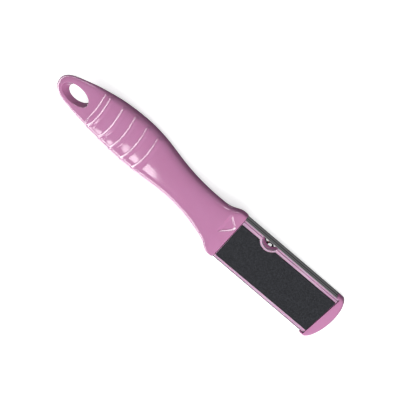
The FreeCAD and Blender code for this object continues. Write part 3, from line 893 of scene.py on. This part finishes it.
# ------------------------------------------------------------------ studio
g = Graph("floor_paper")
fibre = g.noise(60.0, 4.0, 0.6)
g.link(g.ramp(fibre, [(0.3, grey(0.83)), (0.7, grey(0.86))]), g.bsdf.inputs["Base Color"])
g.link(g.span(fibre, 0.3, 0.7, 0.7, 0.85), g.bsdf.inputs["Roughness"])
g.set(Specular_IOR_Level=0.2, Emission_Color=(1.0, 1.0, 1.0, 1.0), Emission_Strength=0.62)
me = bpy.data.meshes.new("floor")
me.from_pydata([(-4, -4, 0), (4, -4, 0), (4, 4, 0), (-4, 4, 0)], [], [(0, 1, 2, 3)])
floor = bpy.data.objects.new("floor", me)
bpy.context.scene.collection.objects.link(floor)
floor.location.z = -0.00005
me.materials.append(g.mat)
floor.visible_glossy = False
floor.visible_diffuse = False

world = bpy.data.worlds.new("studio")
bpy.context.scene.world = world
world.use_nodes = True
wt = world.node_tree
sky = wt.nodes["Background"]
way = wt.nodes.new("ShaderNodeSeparateXYZ")
wt.links.new(wt.nodes.new("ShaderNodeTexCoord").outputs["Generated"], way.inputs[0])


def world_range(src, lo, hi, a, b):
    n = wt.nodes.new("ShaderNodeMapRange")
    for k, v in (("From Min", lo), ("From Max", hi), ("To Min", a), ("To Max", b)):
        n.inputs[k].default_value = v
    wt.links.new(src, n.inputs["Value"])
    return n.outputs["Result"]


def world_times(a, b):
    n = wt.nodes.new("ShaderNodeMath")
    n.operation = "MULTIPLY"
    wt.links.new(a, n.inputs[0])
    wt.links.new(b, n.inputs[1])
    return n.outputs[0]


def world_plus(a, b):
    n = wt.nodes.new("ShaderNodeMath")
    wt.links.new(a, n.inputs[0])
    wt.links.new(b, n.inputs[1])
    return n.outputs[0]


# the room that reflections see: brighter toward -y, dark close under the object,
# with the lit floor of the set as a low band on the -y side
across = world_range(way.outputs["Y"], -0.75, 0.45, 1.0, 0.66)
rise = world_range(way.outputs["Z"], -0.85, -0.30, 0.06, 1.0)
room = world_range(world_times(across, rise), 0.0, 1.0, 0.0, WORLD)
band = world_times(world_range(way.outputs["Z"], -0.62, -0.40, 0.0, 1.0), world_range(way.outputs["Z"], 0.0, 0.14, 1.0, 0.0))
glow = world_range(world_times(band, world_range(way.outputs["Y"], -0.55, -0.80, 0.0, 1.0)), 0.0, 1.0, 0.0, 3.5)
wt.links.new(world_plus(room, glow), sky.inputs["Strength"])
sky.inputs["Color"].default_value = (0.97, 0.97, 1.0, 1.0)
# the soft light that falls on matt surfaces comes from above the table only
fill = wt.nodes.new("ShaderNodeBackground")
fill.inputs["Color"].default_value = (0.97, 0.97, 1.0, 1.0)
above = world_times(across, world_range(way.outputs["Z"], -0.10, 0.12, 0.10, 1.0))
wt.links.new(world_range(above, 0.0, 1.0, 0.0, WORLD), fill.inputs["Strength"])
pick = wt.nodes.new("ShaderNodeMixShader")
wt.links.new(wt.nodes.new("ShaderNodeLightPath").outputs["Is Diffuse Ray"], pick.inputs[0])
wt.links.new(sky.outputs[0], pick.inputs[1])
wt.links.new(fill.outputs[0], pick.inputs[2])
wt.links.new(pick.outputs[0], wt.nodes["World Output"].inputs["Surface"])


def lamp(name, direction, distance, size, power, aim=(0.0, 0.0, 0.012), gloss=True, diffuse=True, shape="RECTANGLE",
         roll=0.0):
    data = bpy.data.lights.new(name, "AREA")
    data.shape = shape
    data.size, data.size_y = size
    data.energy = power
    ob = bpy.data.objects.new(name, data)
    bpy.context.scene.collection.objects.link(ob)
    d = Vector(direction).normalized()
    ob.location = Vector(aim) + d * distance
    ob.rotation_mode = "QUATERNION"
    ob.rotation_quaternion = (-d).to_track_quat("-Z", "Y") @ Quaternion((0.0, 0.0, 1.0), roll)
    ob.visible_glossy = gloss
    ob.visible_diffuse = diffuse
    ob.visible_camera = False
    return ob


lamp("overhead", (0.45, -0.02, 0.89), 0.85, (1.0, 1.0), 6.9, aim=(0.06, 0.0, 0.0), gloss=False)
lamp("key", TURN @ np.array([-0.24, -0.64, 0.73]), 0.15, (0.012, 0.054), 0.0130, aim=row([-118.0, -6.0, -11.0]),
     diffuse=False, shape="ELLIPSE", roll=0.31)
for k, x in enumerate((-150.0, -170.0)):
    lamp("spark_%d" % k, TURN @ np.array([-0.20, -0.80, 0.55]), 0.15, (0.010, 0.05), 0.0085, aim=row([x, -8.0, -12.0]),
         diffuse=False, shape="ELLIPSE")
lamp("side", TURN @ np.array([-0.45, -0.85, 0.25]), 0.95, (1.0, 0.11), 2.9, diffuse=False)
lamp("back", TURN @ np.array([-0.62, 0.67, 0.41]), 0.95, (0.3, 0.15), 1.1, diffuse=False)
lamp("strip", TURN @ np.array([-0.887, -0.238, 0.32]), 0.95, (1.7, 0.26), 11.6, diffuse=False)

# ------------------------------------------------------------------ camera
CAM = np.array([-75.51, 255.42, 419.73])
ang, lean = math.radians(40.45), math.radians(30.367)
ca, sa, c, s_ = math.cos(ang), math.sin(ang), math.cos(lean), math.sin(lean)
right = TURN @ np.array([ca, sa * c, -sa * s_])
down = TURN @ np.array([sa, -ca * c, ca * s_])
ahead = TURN @ np.array([0.0, -s_, -c])
data = bpy.data.cameras.new("camera")
data.sensor_width, data.lens = 36.0, 63.0
data.clip_start, data.clip_end = 0.01, 20.0
cam = bpy.data.objects.new("camera", data)
bpy.context.scene.collection.objects.link(cam)
m = Matrix.Identity(4)
for i in range(3):
    m[i][0], m[i][1], m[i][2] = right[i], -down[i], -ahead[i]
    m[i][3] = row(CAM)[i]
cam.matrix_world = m
bpy.context.scene.camera = cam
bpy.context.scene.view_settings.view_transform = "Standard"
